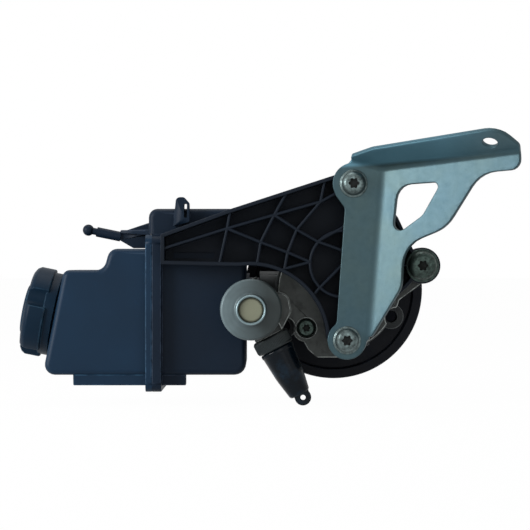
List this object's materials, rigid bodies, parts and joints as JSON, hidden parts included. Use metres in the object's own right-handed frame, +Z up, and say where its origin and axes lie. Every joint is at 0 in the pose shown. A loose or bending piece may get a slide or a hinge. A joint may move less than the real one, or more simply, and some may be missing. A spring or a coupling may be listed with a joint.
{
  "type": "power steering pump",
  "caption": "Vane power steering pump with a moulded fluid reservoir, lobed filler cap, ribbed carrier arm, folded support bracket, pressure union and grooved belt pulley.",
  "frame": {"origin": "on the shaft axis, in the plane of the face that seats on the engine", "axes": "+Y along the shaft towards the belt pulley, +Z up and +X right as pictured from the reservoir side"},
  "size_m": [0.3385, 0.192, 0.1839],
  "materials": {
    "reservoir_blue": "moulded satin",
    "arm_black": "moulded satin",
    "cap_black": "moulded",
    "rubber_black": "matte",
    "filter_cream": "moulded",
    "cast_alloy": "as cast",
    "cartridge_steel": "ground",
    "bush_bronze": "turned",
    "washer_copper": "plain",
    "pulley_black": "satin black",
    "hub_steel": "plated",
    "union_steel": "machined",
    "plug_beige": "moulded",
    "bracket_zinc": "zinc plated",
    "bolt_silver": "plated",
    "bolt_dark": "dark plated"
  },
  "bodies": {
    "pump": {"reservoir_cap_shell": "reservoir_blue", "reservoir_pump_shell": "reservoir_blue", "carrier_arm": "arm_black", "boss_sleeves": "hub_steel", "strainer": "filter_cream", "suction_seal": "rubber_black", "pump_housing": "cast_alloy", "rear_cover": "cast_alloy", "cover_screws": "hub_steel", "cover_seal": "rubber_black", "cam_ring": "cartridge_steel", "front_side_plate": "cartridge_steel", "rear_side_plate": "cartridge_steel", "dowel_pins": "cartridge_steel", "front_bush": "bush_bronze", "rear_bush": "bush_bronze", "shaft_seal": "rubber_black", "retaining_ring": "cartridge_steel", "flow_spring": "cartridge_steel", "outlet_union": "union_steel", "union_washer": "washer_copper", "port_plug": "plug_beige", "solenoid_can": "union_steel", "connector_body": "cap_black", "terminal_pins": "bush_bronze", "dust_cap": "cap_black", "support_bracket": "bracket_zinc", "bracket_bolts": "bolt_silver", "lug_bolt": "bolt_dark", "upper_nut": "hub_steel"},
    "drive": {"drive_shaft": "cartridge_steel", "drive_hub": "hub_steel", "pulley": "pulley_black", "pulley_screws": "hub_steel", "rotor": "cartridge_steel", "rotor_circlip": "cartridge_steel"},
    "cap_ring": {"cap_seal": "rubber_black"},
    "cap": {"filler_cap": "cap_black"},
    "spool": {"flow_spool": "cartridge_steel"},
    "vane_slide_1": {"vane_1": "cartridge_steel"},
    "vane_slide_2": {"vane_2": "cartridge_steel"},
    "vane_slide_3": {"vane_3": "cartridge_steel"},
    "vane_slide_4": {"vane_4": "cartridge_steel"},
    "vane_slide_5": {"vane_5": "cartridge_steel"},
    "vane_slide_6": {"vane_6": "cartridge_steel"},
    "vane_slide_7": {"vane_7": "cartridge_steel"},
    "vane_slide_8": {"vane_8": "cartridge_steel"},
    "vane_slide_9": {"vane_9": "cartridge_steel"},
    "vane_slide_10": {"vane_10": "cartridge_steel"}
  },
  "joints": [
    {"name": "shaft_spin", "type": "hinge", "parent": "pump", "child": "drive", "pos_m": [0, 0, 0], "axis": [0, 1, 0], "continuous": true},
    {"name": "vane_slide_1", "type": "slide", "parent": "drive", "child": "vane_slide_1", "axis": [1, 0, 0], "range_m": [-0.0016, 0]},
    {"name": "vane_slide_2", "type": "slide", "parent": "drive", "child": "vane_slide_2", "axis": [0.809, 0, 0.5878], "range_m": [-0.0016, 0]},
    {"name": "vane_slide_3", "type": "slide", "parent": "drive", "child": "vane_slide_3", "axis": [0.309, 0, 0.9511], "range_m": [-0.0016, 0]},
    {"name": "vane_slide_4", "type": "slide", "parent": "drive", "child": "vane_slide_4", "axis": [-0.309, 0, 0.9511], "range_m": [-0.0016, 0]},
    {"name": "vane_slide_5", "type": "slide", "parent": "drive", "child": "vane_slide_5", "axis": [-0.809, 0, 0.5878], "range_m": [-0.0016, 0]},
    {"name": "vane_slide_6", "type": "slide", "parent": "drive", "child": "vane_slide_6", "axis": [-1, 0, 0], "range_m": [-0.0016, 0]},
    {"name": "vane_slide_7", "type": "slide", "parent": "drive", "child": "vane_slide_7", "axis": [-0.809, 0, -0.5878], "range_m": [-0.0016, 0]},
    {"name": "vane_slide_8", "type": "slide", "parent": "drive", "child": "vane_slide_8", "axis": [-0.309, 0, -0.9511], "range_m": [-0.0016, 0]},
    {"name": "vane_slide_9", "type": "slide", "parent": "drive", "child": "vane_slide_9", "axis": [0.309, 0, -0.9511], "range_m": [-0.0016, 0]},
    {"name": "vane_slide_10", "type": "slide", "parent": "drive", "child": "vane_slide_10", "axis": [0.809, 0, -0.5878], "range_m": [-0.0016, 0]},
    {"name": "cap_lift", "type": "slide", "parent": "pump", "child": "cap_ring", "axis": [-0.9799, 0, 0.1994], "range_m": [0, 0.018]},
    {"name": "cap_turn", "type": "hinge", "parent": "cap_ring", "child": "cap", "pos_m": [-0.19399, -0.033, -0.0175], "axis": [-0.9799, 0, 0.1994], "range_deg": [0, 540]},
    {"name": "spool_slide", "type": "slide", "parent": "pump", "child": "spool", "axis": [-0.4617, 0, 0.887], "range_m": [0, 0.004], "stiffness_N_per_m": 1500, "springref_m": -0.003, "deforming": ["flow_spring"]}
  ],
  "couplings": [
    {"joint": "cap_lift", "follows": "cap_turn", "m_per_rad": 0.0019097}
  ]
}
